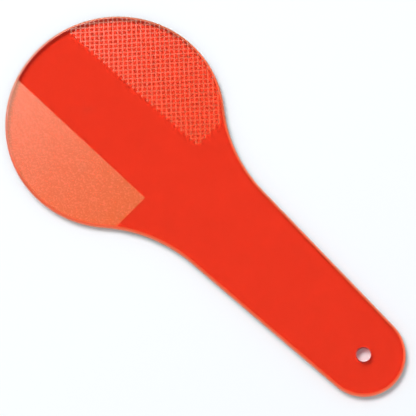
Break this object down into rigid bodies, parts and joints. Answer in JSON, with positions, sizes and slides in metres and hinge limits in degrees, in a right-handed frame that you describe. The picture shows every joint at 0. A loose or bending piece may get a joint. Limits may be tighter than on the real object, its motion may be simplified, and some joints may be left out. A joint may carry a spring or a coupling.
{
  "type": "plastic texture sample paddle",
  "caption": "Flat round-headed paddle in clear red-orange plastic, with frosted, polished and ribbed fields and a hanging hole in its tapered handle.",
  "frame": {"origin": "on the flat back, under the middle of the outline", "axes": "+X along the handle, from the head towards the hanging hole; +Z out of the textured front face"},
  "size_m": [0.201, 0.09, 0.0031],
  "materials": {
    "clear_plastic": "clear injection-moulded plastic, polished, with one fine frosted field and one ribbed field"
  },
  "bodies": {
    "root": {"paddle": "clear_plastic"}
  },
  "joints": []
}
